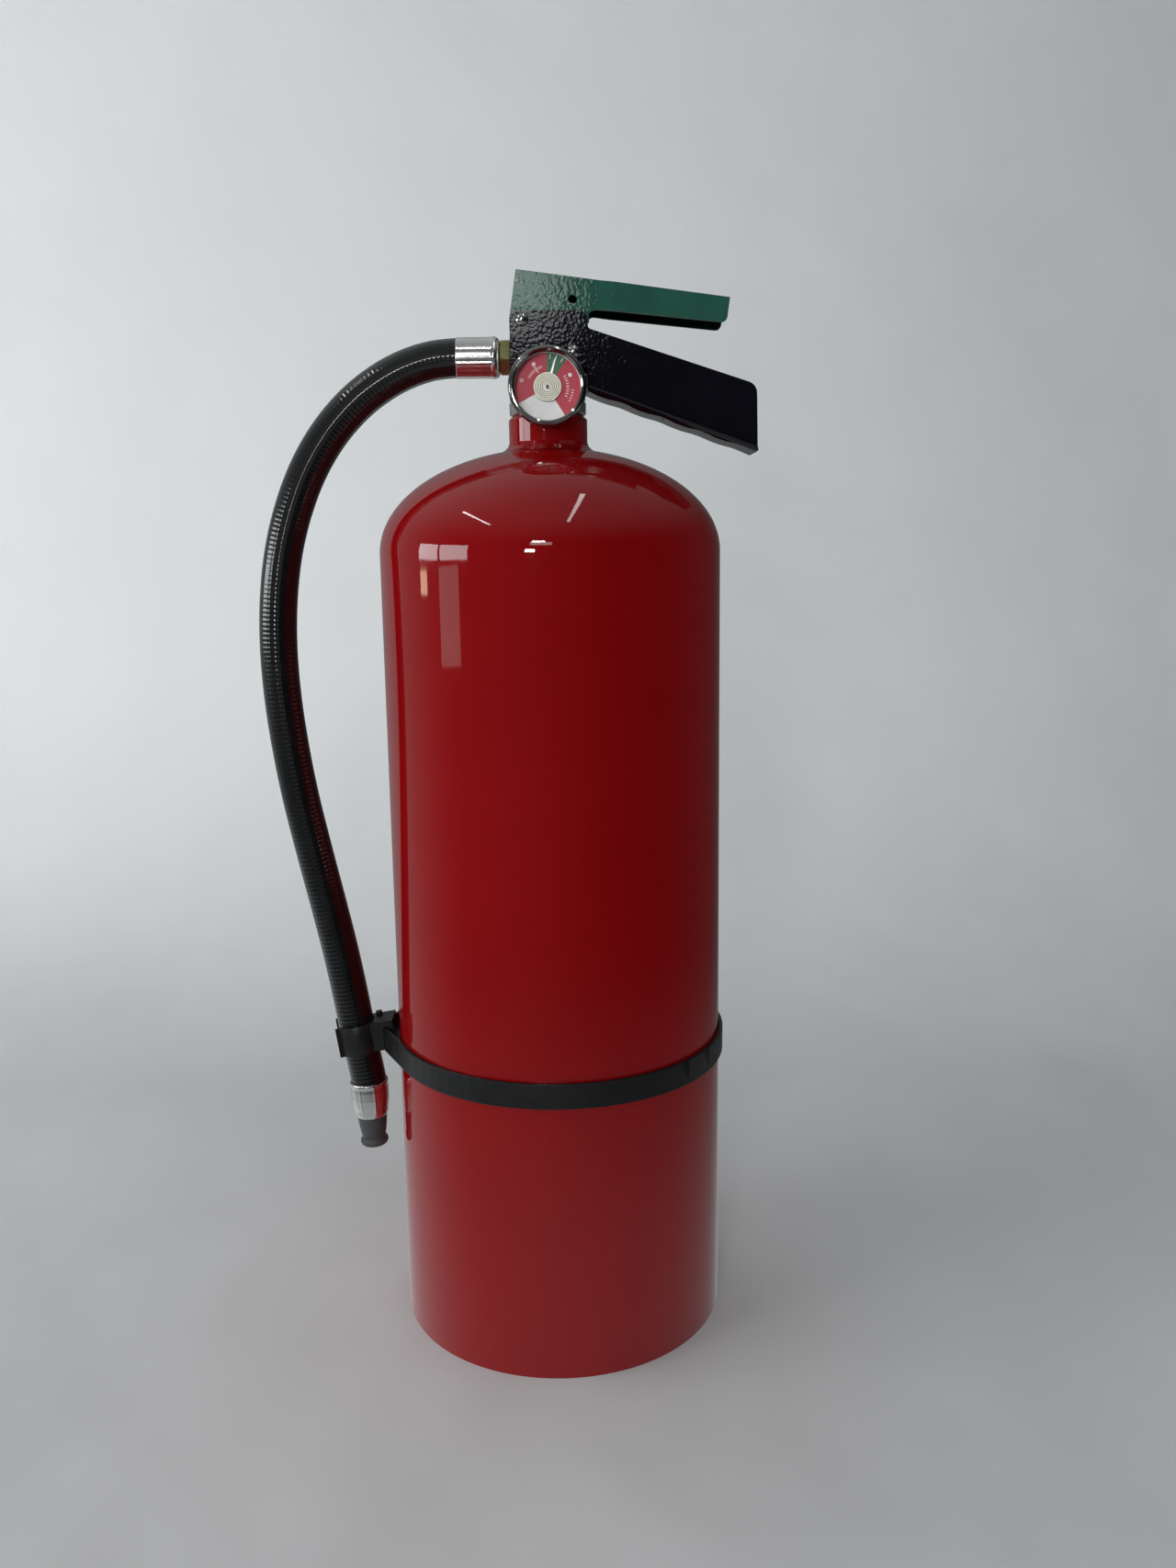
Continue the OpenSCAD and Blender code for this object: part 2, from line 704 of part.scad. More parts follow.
// The clip: a block hooked down over the strap, and two arms round the hose
module hose_clip() {
    bore = hose_r + clip_gap;
    slot_top = band_z + band_w / 2 + 0.9;
    color(rubber) difference() {
        clip_place() translate([0, 0, -clip_h / 2]) linear_extrude(clip_h) difference() {
            union() {
                translate([5, -clip_half_y]) square([clip_reach - 5, 2 * clip_half_y]);
                circle(r = bore + clip_arm);
            }
            circle(r = bore);
            polygon([[0, 0], [-30, -30 * tan(clip_mouth)], [-30, 30 * tan(clip_mouth)]]);
        }
        translate([clip_strap_x - band_t / 2 - 0.3, -20, slot_top - 40]) cube([band_t + 0.6, 40, 40]);
        clip_place() translate([clip_pin_x, clip_pin_y, -clip_h / 2 + 3]) cylinder(r = clip_pin_r + 0.05, h = 30);
    }
    color(rubber) for (lip = [[1, -13], [-1, -10.5]])
        clip_place() translate([0, 0, -clip_h / 2]) linear_extrude(clip_h)
            polygon([for (p = [[-7.2, 7.4], [-8, 8.9], [lip[1] + 0.2, 9.6], [lip[1], 8.3], [-9, 7.4]])
                [p[0], lip[0] * p[1]]]);
}

// The pin pressed down into the clip's block
module clip_pin() {
    shank = 12;
    color(rubber) clip_place() translate([clip_pin_x, clip_pin_y, clip_h / 2 + 0.1 - shank]) {
        cylinder(r = clip_pin_r, h = shank);
        translate([0, 0, shank - 0.05]) cylinder(r = clip_pin_r + 0.5, h = 2);
    }
}

shell();
foot_ring();
base_dish();
neck_collar();
neck_o_ring();
valve_body();
siphon_adapter();
siphon_tube();
valve_spring();
valve_stem();
stem_seal();
stem_o_ring();
carrying_handle();
handle_rivet();
lever_rivet();
lever();
gauge_stem();
gauge_case();
gauge_bezel();
gauge_dial();
gauge_post();
gauge_needle();
bourdon_coil();
gauge_lens();
hose_tail();
tail_washer();
valve_ferrule();
hose();
nozzle_ferrule();
nozzle();
retaining_band();
hose_clip();
clip_pin();
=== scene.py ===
"""Looks of a dry powder fire extinguisher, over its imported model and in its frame.

Lengths are in metres. Outlines, routes, edge widths and the measures of the shell, the dial and its coil
are in millimetres, and MM turns them into metres where they are used.
"""

import math

import bpy
from mathutils import Matrix, Vector


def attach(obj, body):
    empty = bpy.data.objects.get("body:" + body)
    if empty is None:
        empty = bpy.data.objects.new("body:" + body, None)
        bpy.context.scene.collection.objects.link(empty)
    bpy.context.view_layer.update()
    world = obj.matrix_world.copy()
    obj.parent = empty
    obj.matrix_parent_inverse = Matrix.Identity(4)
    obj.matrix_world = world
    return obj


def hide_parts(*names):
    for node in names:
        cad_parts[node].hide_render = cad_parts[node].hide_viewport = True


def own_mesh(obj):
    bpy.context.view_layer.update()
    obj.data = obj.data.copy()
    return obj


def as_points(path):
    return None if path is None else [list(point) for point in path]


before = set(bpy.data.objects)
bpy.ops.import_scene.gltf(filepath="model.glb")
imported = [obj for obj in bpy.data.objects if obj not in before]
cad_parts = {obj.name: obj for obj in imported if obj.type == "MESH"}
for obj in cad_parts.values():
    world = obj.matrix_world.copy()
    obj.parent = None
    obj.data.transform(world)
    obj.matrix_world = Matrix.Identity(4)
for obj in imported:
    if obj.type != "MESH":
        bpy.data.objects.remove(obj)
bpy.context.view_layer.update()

ROOT = "extinguisher"
MM = 0.001
GAUGE_Z = 501.4 * MM
COIL_RADII = (1.7, 7)
COIL_TURNS = 6


# ---------------------------------------------------------------- camera

CAMERA_PLACE = (0, -0.6901, 0.4192)
PITCH_YAW_ROLL = (10.11, 1.50, -0.81)
SENSOR_WIDTH = 36
LENS_LENGTH = 29.53


def make_camera():
    """The photograph's view: a phone held in front of the shell's shoulder, tipped down by ten degrees."""
    pitch, yaw, roll = (math.radians(a) for a in PITCH_YAW_ROLL)
    forward = Vector((math.sin(yaw) * math.cos(pitch), math.cos(yaw) * math.cos(pitch), -math.sin(pitch)))
    level = Vector((math.cos(yaw), -math.sin(yaw), 0))
    upright = level.cross(forward)
    right = math.cos(roll) * level + math.sin(roll) * upright
    up = -math.sin(roll) * level + math.cos(roll) * upright
    data = bpy.data.cameras.new("camera")
    data.sensor_width = SENSOR_WIDTH
    data.lens = LENS_LENGTH
    data.clip_start = 0.01
    camera = bpy.data.objects.new("camera", data)
    bpy.context.scene.collection.objects.link(camera)
    turn = Matrix((right, up, -forward)).transposed().to_4x4()
    camera.matrix_world = Matrix.Translation(CAMERA_PLACE) @ turn
    bpy.context.scene.camera = camera


make_camera()


# ---------------------------------------------------------------- mesh helpers


def mesh_piece(name, verts, faces, mats, body=ROOT, smooth=True, face_mats=None, uvs=None):
    """A mesh object that rides on a body. uvs holds one pair for each face corner."""
    mesh = bpy.data.meshes.new(name)
    mesh.from_pydata([tuple(v) for v in verts], [], faces)
    for m in mats:
        mesh.materials.append(m)
    if face_mats:
        for poly, index in zip(mesh.polygons, face_mats):
            poly.material_index = index
    if uvs:
        layer = mesh.uv_layers.new(name="UVMap")
        for loop, uv in zip(layer.data, uvs):
            loop.uv = uv
    if smooth:
        mesh.polygons.foreach_set("use_smooth", [True] * len(mesh.polygons))
    mesh.update()
    piece = bpy.data.objects.new(name, mesh)
    bpy.context.scene.collection.objects.link(piece)
    if body:
        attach(piece, body)
    return piece


def spline(points, steps):
    """A smooth path through the points, with so many steps between two of them."""
    ends = [2 * points[0] - points[1]] + points + [2 * points[-1] - points[-2]]
    path = []
    for a, b, c, d in zip(ends, ends[1:], ends[2:], ends[3:]):
        for i in range(steps):
            t = i / steps
            first = (c - a) * t
            second = (2 * a - 5 * b + 4 * c - d) * t**2
            third = (3 * b - a - 3 * c + d) * t**3
            path.append(0.5 * (2 * b + first + second + third))
    return path + [points[-1]]


def length_of(path):
    return sum((b - a).length for a, b in zip(path, path[1:]))


def turned(name, profile, place, mats, sides=288, shape=None, crease=None):
    """A closed profile of (radius, height) pairs turned round +Z and put in place.
    shape(radius, height, angle) changes a point's radius.
    Edges sharper than crease, in degrees, stay sharp."""
    verts, faces = [], []
    for radius, height in profile:
        for k in range(sides):
            angle = 2 * math.pi * k / sides
            r = shape(radius, height, angle) if shape else radius
            verts.append(place @ Vector((r * math.cos(angle), r * math.sin(angle), height)))
    rows = len(profile)
    for i in range(rows):
        for k in range(sides):
            a, b = i * sides + k, i * sides + (k + 1) % sides
            c, d = (i + 1) % rows * sides + (k + 1) % sides, (i + 1) % rows * sides + k
            faces.append((a, b, c, d))
    piece = mesh_piece(name, verts, faces, mats)
    if crease:
        piece.data.set_sharp_from_angle(angle=math.radians(crease))
    return piece


# ---------------------------------------------------------------- materials


def add_node(tree, kind, inputs, **settings):
    """A node with its settings, and its inputs set to numbers or linked from sockets."""
    made = tree.nodes.new(kind)
    for key, value in settings.items():
        setattr(made, key, value)
    for key, value in inputs.items():
        if isinstance(value, bpy.types.NodeSocket):
            tree.links.new(value, made.inputs[key])
        else:
            made.inputs[key].default_value = value
    return made


def map_range(tree, value, start, stop, low, high, **settings):
    """A number that goes from low to high as the value goes from start to stop."""
    ends = {"Value": value, "From Min": start, "From Max": stop, "To Min": low, "To Max": high}
    return add_node(tree, "ShaderNodeMapRange", ends, **settings).outputs[0]


class Shade:
    """A Principled material and short calls for the nodes that feed it."""

    def __init__(self, name, **sockets):
        self.material = bpy.data.materials.new(name)
        self.material.use_nodes = True
        self.tree = self.material.node_tree
        self.bsdf = self.tree.nodes["Principled BSDF"]
        for socket, value in sockets.items():
            self.bsdf.inputs[socket.replace("_", " ")].default_value = value
        self.place = self.node("ShaderNodeTexCoord", {}).outputs["Object"]

    def node(self, kind, inputs, **settings):
        return add_node(self.tree, kind, inputs, **settings)

    def parts(self, vector):
        """The three numbers of a vector."""
        return self.node("ShaderNodeSeparateXYZ", {"Vector": vector}).outputs

    def noise(self, scale, detail=2.0, roughness=0.5, stretch=None):
        vector = self.place
        if stretch:
            vector = self.node("ShaderNodeMapping", {"Vector": vector, "Scale": stretch}).outputs[0]
        grain = {"Vector": vector, "Scale": scale, "Detail": detail, "Roughness": roughness}
        return self.node("ShaderNodeTexNoise", grain).outputs["Fac"]

    def ramp(self, factor, low, high, start=0.3, stop=0.7):
        """A number or a colour that goes from low to high as the factor goes from start to stop."""
        if isinstance(low, (int, float)):
            return map_range(self.tree, factor, start, stop, low, high)
        made = self.node("ShaderNodeValToRGB", {"Fac": factor})
        first, last = made.color_ramp.elements
        first.position, last.position = start, stop
        first.color, last.color = (*low, 1), (*high, 1)
        return made.outputs["Color"]

    def math(self, operation, *values):
        return self.node("ShaderNodeMath", dict(enumerate(values)), operation=operation).outputs[0]

    def set(self, socket, value):
        self.tree.links.new(value, self.bsdf.inputs[socket])

    def bump(self, *layers):
        """Bumps on top of each other, each a height from 0 to 1 and how deep it is in metres."""
        normal = None
        for height, depth in layers:
            made = self.node("ShaderNodeBump", {"Height": height, "Distance": depth, "Strength": 1.0})
            if normal is not None:
                self.tree.links.new(normal, made.inputs["Normal"])
            normal = made.outputs["Normal"]
        self.set("Normal", normal)
        self.set("Coat Normal", normal)


def red_paint():
    """Smooth gloss enamel."""
    s = Shade("red_paint", Specular_IOR_Level=0.0, Coat_Weight=1.0, Coat_Roughness=0.03, IOR=1.5)
    s.set("Base Color", s.ramp(s.noise(7, 5, 0.6), (0.300, 0.0032, 0.0048), (0.345, 0.0046, 0.0066)))
    s.set("Roughness", s.ramp(s.noise(160, 4, 0.6), 0.3, 0.45))
    s.set("Coat Roughness", s.ramp(s.noise(30, 6, 0.7), 0.015, 0.05))
    s.bump((s.noise(28, 2), 0.00004), (s.noise(420, 2), 0.000003))
    return s.material


def peel_paint(name, dark, light, depth):
    """Thick gloss paint on steel sheet, dimpled like an orange's peel."""
    s = Shade(name, Specular_IOR_Level=0.0, Coat_Weight=1.0, IOR=1.5)
    s.set("Base Color", s.ramp(s.noise(40, 4, 0.6), dark, light))
    s.set("Roughness", s.ramp(s.noise(250, 4, 0.6), 0.3, 0.45))
    s.set("Coat Roughness", s.ramp(s.noise(60, 5, 0.7), 0.04, 0.09))
    s.bump((s.noise(620, 1.0, 0.4), depth), (s.noise(90, 2), 0.00006))
    return s.material


def metal(name, colour, roughness, grain=(1, 1, 1), depth=0.000006):
    """Bare or plated metal, with fine tool marks, which grain can squeeze along one way."""
    s = Shade(name, Metallic=1.0)
    dull = tuple(c * 0.82 for c in colour)
    s.set("Base Color", s.ramp(s.noise(120, 5, 0.65), dull, colour))
    marks = s.noise(900, 3, 0.6, stretch=grain)
    wear = s.math("ADD", marks, s.math("MULTIPLY", s.noise(60, 4), 0.5))
    s.set("Roughness", s.ramp(wear, 0.65 * roughness, 1.35 * roughness, 0.5, 1.0))
    s.bump((marks, depth))
    return s.material


def moulded(name, dark, light, roughness=(0.42, 0.6)):
    """Moulded plastic or rubber with a fine skin."""
    s = Shade(name, IOR=1.48)
    s.set("Base Color", s.ramp(s.noise(60, 5, 0.65), dark, light))
    s.set("Roughness", s.ramp(s.noise(200, 4, 0.6), *roughness))
    s.bump((s.noise(1500, 2), 0.000012), (s.noise(70, 2), 0.00004))
    return s.material


# Threads of the cloth's print in one turn of the hose.
WEAVE_TURNS = 13


def hose_rubber():
    """Black rubber with the print of the cloth it was wrapped in. Its map counts turns round the hose."""
    s = Shade("hose_rubber", IOR=1.5, Specular_IOR_Level=0.2, Coat_Weight=1.0, Coat_Roughness=0.07)
    uv = s.node("ShaderNodeUVMap", {}, uv_map="UVMap").outputs[0]
    u, v = s.parts(uv)[:2]
    turn = 2 * math.pi * WEAVE_TURNS
    weft = s.math("SINE", s.math("MULTIPLY", s.math("ADD", u, v), turn))
    warp = s.math("SINE", s.math("MULTIPLY", s.math("SUBTRACT", u, v), turn))
    weave = s.math("MULTIPLY_ADD", s.math("MULTIPLY", weft, warp), 0.5, 0.5)
    s.set("Base Color", s.ramp(s.noise(45, 6, 0.7), (0.0018, 0.0024, 0.0030), (0.0050, 0.0058, 0.0068)))
    s.set("Roughness", s.ramp(s.noise(110, 5, 0.65), 0.3, 0.48))
    s.bump((weave, 0.00011), (s.noise(60, 3), 0.00006))
    return s.material


def print_ink(name, colour):
    """Ink printed on the dial."""
    s = Shade(name, IOR=1.45)
    s.set("Base Color", s.ramp(s.noise(900, 3, 0.6), tuple(c * 0.86 for c in colour), colour))
    s.set("Roughness", s.ramp(s.noise(400, 3), 0.38, 0.55))
    return s.material


def clear_lens():
    s = Shade("lens", IOR=1.46, Transmission_Weight=1.0)
    s.bsdf.inputs["Base Color"].default_value = (0.97, 0.98, 0.98, 1)
    s.set("Roughness", s.ramp(s.noise(70, 5, 0.7), 0.0, 0.035, 0.45, 0.8))
    return s.material


def coil_metal():
    """The flat turns of the pressure tube, with painted shade in the gaps between them."""
    s = Shade("coil_metal", Metallic=1.0)
    x, _, z = s.parts(s.place)
    up = s.math("SUBTRACT", z, GAUGE_Z)
    away = s.math("SQRT", s.math("ADD", s.math("MULTIPLY", x, x), s.math("MULTIPLY", up, up)))
    inner, outer = (r * MM for r in COIL_RADII)
    turns = s.math("MULTIPLY", s.math("SUBTRACT", away, inner), COIL_TURNS / (outer - inner))
    gap_shade_wave = s.math("COSINE", s.math("MULTIPLY", turns, 2 * math.pi))
    # Painted shade: the gaps between the turns are painted near black.
    s.set("Base Color", s.ramp(gap_shade_wave, (0.62, 0.60, 0.52), (0.05, 0.045, 0.035), -0.1, 0.7))
    s.set("Roughness", s.ramp(s.noise(500, 3), 0.3, 0.5))
    s.bump((s.noise(1500, 2), 0.00001))
    return s.material


RED = red_paint()
GREEN = peel_paint("green_paint", (0.024, 0.112, 0.078), (0.034, 0.142, 0.102), 0.00005)
# Painted shade: a near-black green for the lever's inner and under faces, which lie in shade.
GREEN_PAINTED_SHADE = peel_paint("green_painted_shade", (0.002, 0.008, 0.006), (0.004, 0.014, 0.010), 0.00005)
BLACK_PAINT = peel_paint("black_paint", (0.003, 0.003, 0.006), (0.006, 0.006, 0.011), 0.00006)
VALVE = metal("valve_metal", (0.64, 0.63, 0.60), 0.3, grain=(1, 1, 40))
FERRULE = metal("ferrule_aluminium", (0.86, 0.86, 0.85), 0.2, depth=0.000002)
STEEL = metal("steel", (0.55, 0.55, 0.55), 0.2)
BRASS = metal("brass", (0.44, 0.45, 0.20), 0.36)
CHROME = metal("gauge_chrome", (0.34, 0.33, 0.32), 0.1, grain=(30, 1, 1), depth=0.000002)
COIL = coil_metal()
POST = metal("post_metal", (0.14, 0.13, 0.11), 0.4)
NEEDLE = metal("needle_metal", (0.92, 0.92, 0.92), 0.5)
HOSE = hose_rubber()
SEAL = moulded("seal_rubber", (0.008, 0.008, 0.008), (0.02, 0.02, 0.02))
BAND = moulded("black_plastic", (0.004, 0.0045, 0.005), (0.009, 0.0095, 0.0105), (0.34, 0.5))
GREY = moulded("grey_plastic", (0.055, 0.06, 0.064), (0.085, 0.092, 0.097), (0.4, 0.55))
WHITE = moulded("white_plastic", (0.6, 0.6, 0.57), (0.72, 0.72, 0.7))
LENS = clear_lens()
INK_RED = print_ink("ink_red", (0.50, 0.022, 0.055))
INK_GREEN = print_ink("ink_green", (0.03, 0.16, 0.075))
INK_WHITE = print_ink("ink_white", (0.86, 0.86, 0.86))
INK_PALE = print_ink("ink_pale", (0.90, 0.80, 0.82))

FINISH = {
    RED: ["shell", "foot_ring", "base_dish", "neck_collar"],
    GREEN: ["lever"],
    BLACK_PAINT: ["carrying_handle"],
    VALVE: ["valve_body"],
    STEEL: ["valve_spring", "valve_stem", "handle_rivet", "lever_rivet"],
    POST: ["gauge_post"],
    BRASS: ["gauge_stem", "hose_tail"],
    CHROME: ["gauge_case", "gauge_bezel"],
    COIL: ["bourdon_coil"],
    NEEDLE: ["gauge_needle"],
    SEAL: ["neck_o_ring", "stem_o_ring", "stem_seal", "tail_washer"],
    BAND: ["retaining_band", "hose_clip", "clip_pin"],
    GREY: ["nozzle"],
    WHITE: ["siphon_adapter", "siphon_tube"],
    LENS: ["gauge_lens"],
    INK_WHITE: ["gauge_dial"],
    FERRULE: ["valve_ferrule", "nozzle_ferrule"],
    HOSE: ["hose"],
}

SOFT_EDGES = {
    "lever": 0.35,
    "carrying_handle": 0.4,
    "retaining_band": 0.3,
    "hose_clip": 0.4,
    "valve_body": 0.3,
}


def finish_nodes():
    """Each CAD node's material, softened edges on sheet and moulded parts, a lens that lets light through
    to the dial, and painted shade in a darker green on the lever's inward and downward faces."""
    for mat, names in FINISH.items():
        for name in names:
            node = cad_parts[name]
            node.data.materials.clear()
            node.data.materials.append(mat)
    for name, width in SOFT_EDGES.items():
        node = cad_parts[name]
        weld = node.modifiers.new("weld", "WELD")
        weld.merge_threshold = 0.00001
        bevel = node.modifiers.new("bevel", "BEVEL")
        bevel.width = width * MM
        bevel.segments = 2
        bevel.limit_method = "ANGLE"
        bevel.angle_limit = math.radians(40)
        bevel.harden_normals = True
    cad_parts["gauge_lens"].visible_shadow = False
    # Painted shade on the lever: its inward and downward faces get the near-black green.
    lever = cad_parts["lever"]
    lever.data.materials.append(GREEN_PAINTED_SHADE)
    turn = lever.matrix_world.to_3x3()
    for poly in lever.data.polygons:
        middle, way = lever.matrix_world @ poly.center, turn @ poly.normal
        faces_inward = middle.y * way.y < -0.006
        faces_down = way.z < -0.98
        if faces_inward or faces_down:
            poly.material_index = 1


# ---------------------------------------------------------------- shell

SHELL_RADIUS = 89
SHELL_WALL = 1.8
WALL_FOOT = 15
WALL_TOP = 420.6
DOME_RISE = 53.2
NECK_HOLE = 20.1


def dome_line(radius, rise, steps=72):
    """A quarter of an ellipse, from the top of the wall to the neck's hole."""
    stop = math.acos(NECK_HOLE / radius)
    angles = [stop * i / steps for i in range(steps + 1)]
    return [(radius * math.cos(a), WALL_TOP + rise * math.sin(a)) for a in angles]


def make_shell():
    """The shell turned finely, so that the room's reflection runs smoothly over its dome."""
    inside = SHELL_RADIUS - SHELL_WALL
    outer = [(SHELL_RADIUS, z) for z in (WALL_FOOT, 90, 180, 270, 350, 400, 416)]
    outer += dome_line(SHELL_RADIUS, DOME_RISE)
    inner = [(inside, z) for z in (WALL_FOOT, 220, 400)]
    inner += dome_line(inside, DOME_RISE - SHELL_WALL, 24)
    profile = [(r * MM, z * MM) for r, z in outer + inner[::-1]]
    shell = turned("shell_turned", profile, Matrix.Identity(4), [RED], crease=40)
    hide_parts("shell")


make_shell()


# ---------------------------------------------------------------- hose, ferrules and nozzle

HOSE_RADIUS = 9.8 * MM
OUTLET_Z = 519.4 * MM
UPPER_FERRULE = Vector((-24 * MM, 0, OUTLET_Z))
LOWER_FERRULE = Vector((-108.2 * MM, 0, 129 * MM))
LOWER_LEAN = 177.2
HOSE_ROUTE = [
    (-27, 519.4), (-47, 519.4), (-63, 517.2), (-80, 510.6), (-97, 499.3), (-112, 484),
    (-124, 466), (-133, 446), (-139.6, 424), (-143.6, 400), (-145.2, 375), (-144.6, 349),
    (-142, 321), (-137.8, 292), (-132.2, 263), (-126.2, 234), (-120.8, 207), (-116.4, 181),
    (-112.5, 155), (-108.2, 129), (-107.6, 117),
]  # fmt: skip
UPPER_OUTLINE = [
    (7.0, 0.02), (7.9, 0.04), (8.7, 0.3), (9.5, 0.85), (10.1, 1.6), (10.4, 2.6), (10.48, 3.4),
    (10.48, 21.4), (10.4, 22), (10.25, 22.28),
]  # fmt: skip
LOWER_OUTLINE = [
    (10.3, 0.02), (10.65, 0.3), (10.8, 1.0), (10.88, 5), (10.75, 10), (10.4, 14), (9.9, 16.5),
    (9.3, 18.6), (8.9, 20), (8.6, 20.7), (8.1, 20.97),
]  # fmt: skip


def make_hose():
    """The hose as a fine tube along its route, with a map that counts turns round it."""
    sides = 48
    sideways = Vector((0, 1, 0))
    path = spline([Vector((x * MM, 0, z * MM)) for x, z in HOSE_ROUTE], 6)
    verts, faces, uvs = [], [], []
    run = 0
    runs = []
    for i, point in enumerate(path):
        before, after = path[max(i - 1, 0)], path[min(i + 1, len(path) - 1)]
        along = (after - before).normalized()
        over = along.cross(sideways)
        run += (point - before).length
        runs.append(run / (2 * math.pi * HOSE_RADIUS))
        for k in range(sides):
            angle = 2 * math.pi * k / sides
            verts.append(point + HOSE_RADIUS * (math.cos(angle) * sideways + math.sin(angle) * over))
    for i in range(len(path) - 1):
        for k in range(sides):
            a, b = i * sides + k, i * sides + (k + 1) % sides
            faces.append((a, a + sides, b + sides, b))
            u0, u1 = k / sides, (k + 1) / sides
            uvs += [(u0, runs[i]), (u0, runs[i + 1]), (u1, runs[i + 1]), (u1, runs[i])]
    for ring in (range(sides), reversed(range(len(verts) - sides, len(verts)))):
        faces.append(tuple(ring))
        uvs += [(0, 0)] * sides
    piece = mesh_piece("hose_tube", verts, faces, [HOSE], uvs=uvs)
    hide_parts("hose")
    return piece, path


def crimps(count, depth, start, stop, blend):
    """A shape for a turned sleeve: flats pressed in between two heights, with thin ribs between them."""

    def shape(radius, height, angle):
        inside = min(max((height - start) / blend, 0), max((stop - height) / blend, 0), 1)
        phase = (angle * count / (2 * math.pi)) % 1
        rib = math.exp(-(((phase - 0.5) / 0.07) ** 2))
        return radius - depth * (1 - rib) * inside

    return shape


def sleeve_profile(points, wall):
    """An open outline of (radius, height) in millimetres, closed by its inner face and turned into metres."""
    outer = [(r * MM, h * MM) for r, h in points]
    inner = [((r - wall) * MM, h * MM) for r, h in reversed(points)]
    return outer + inner


def dense(points, step):
    """The same open profile with points no further apart than the step."""
    out = [points[0]]
    for (r0, h0), (r1, h1) in zip(points, points[1:]):
        parts = max(1, math.ceil(math.hypot(r1 - r0, h1 - h0) / step))
        out += [(r0 + (r1 - r0) * i / parts, h0 + (h1 - h0) * i / parts) for i in range(1, parts + 1)]
    return out


def make_ferrules():
    """The two crimped sleeves. Gives back the lower one, which sits on the hose's lower end."""
    upper = Matrix.Translation(UPPER_FERRULE) @ Matrix.Rotation(math.radians(-90), 4, "Y")
    profile = sleeve_profile(dense(UPPER_OUTLINE, step=0.5), wall=0.35)
    pressed = crimps(8, depth=0.36 * MM, start=3.6 * MM, stop=22.6 * MM, blend=0.8 * MM)
    top = turned("valve_ferrule_crimped", profile, upper, [FERRULE], shape=pressed)
    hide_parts("valve_ferrule")
    lower = Matrix.Translation(LOWER_FERRULE) @ Matrix.Rotation(math.radians(LOWER_LEAN), 4, "Y")
    profile = sleeve_profile(dense(LOWER_OUTLINE, step=0.5), wall=0.3)
    pressed = crimps(8, depth=0.42 * MM, start=0.8 * MM, stop=18.5 * MM, blend=2.0 * MM)
    bottom = turned("nozzle_ferrule_crimped", profile, lower, [FERRULE], shape=pressed)
    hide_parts("nozzle_ferrule")
    return bottom


hose, hose_path = make_hose()
lower_ferrule = make_ferrules()
finish_nodes()
round(length_of(hose_path), 3)
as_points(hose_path)  # fmt: skip


# ---------------------------------------------------------------- spring

SPRING_WIRE = 0.65 * MM
SPRING_RADIUS = 5.6 * MM
SPRING_COILS = 7
SPRING_LOW = 474.7 * MM
SPRING_HIGH = 496 * MM


def make_spring():
    """The valve's spring in round wire."""
    steps, sides = 32, 12
    rings = SPRING_COILS * steps
    up = Vector((0, 0, 1))
    verts, faces = [], []
    for i in range(rings + 1):
        a = 2 * math.pi * i / steps
        out = Vector((math.cos(a), math.sin(a), 0))
        middle = SPRING_RADIUS * out + (SPRING_LOW + (SPRING_HIGH - SPRING_LOW) * i / rings) * up
        for k in range(sides):
            b = 2 * math.pi * k / sides
            verts.append(middle + SPRING_WIRE * (math.cos(b) * out + math.sin(b) * up))
    for i in range(rings):
        for k in range(sides):
            a, b = i * sides + k, i * sides + (k + 1) % sides
            faces.append((a, b, b + sides, a + sides))
    faces.append(tuple(reversed(range(sides))))
    faces.append(tuple(range(len(verts) - sides, len(verts))))
    spring = mesh_piece("spring_coil", verts, faces, [STEEL])
    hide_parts("valve_spring")
    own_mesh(spring)


make_spring()


# ---------------------------------------------------------------- dial

DIAL_FRONT = -25.5 * MM
POST_HOLE = 1.4
DIAL_RADIUS = 16.6
RED_INK, GREEN_INK, WHITE_INK, PALE_INK = range(4)
SECTORS = [(GREEN_INK, 0, 36), (RED_INK, 36, 148), (WHITE_INK, 148, 242), (RED_INK, 242, 360)]
DOTS = [(12.8, -31, 1.0, 0.0), (12.7, 63, 1.0, 0.0), (13.2, -75, 0.9, 0.55)]


def dial_point(radius, degrees, lift):
    """A point on the dial, by its distance from the middle and its angle clockwise from the top."""
    a = math.radians(degrees)
    return Vector((radius * MM * math.sin(a), DIAL_FRONT - lift * MM, GAUGE_Z + radius * MM * math.cos(a)))


def dial_band(verts, faces, inner, outer, start, stop, lift):
    """Adds a flat piece of ring to the lists, facing -Y."""
    parts = max(2, math.ceil((stop - start) / 3))
    for i in range(parts):
        a, b = (start + (stop - start) * t / parts for t in (i, i + 1))
        first = len(verts)
        verts += [dial_point(r, d, lift) for r, d in ((inner, a), (outer, a), (outer, b), (inner, b))]
        faces.append((first, first + 1, first + 2, first + 3))


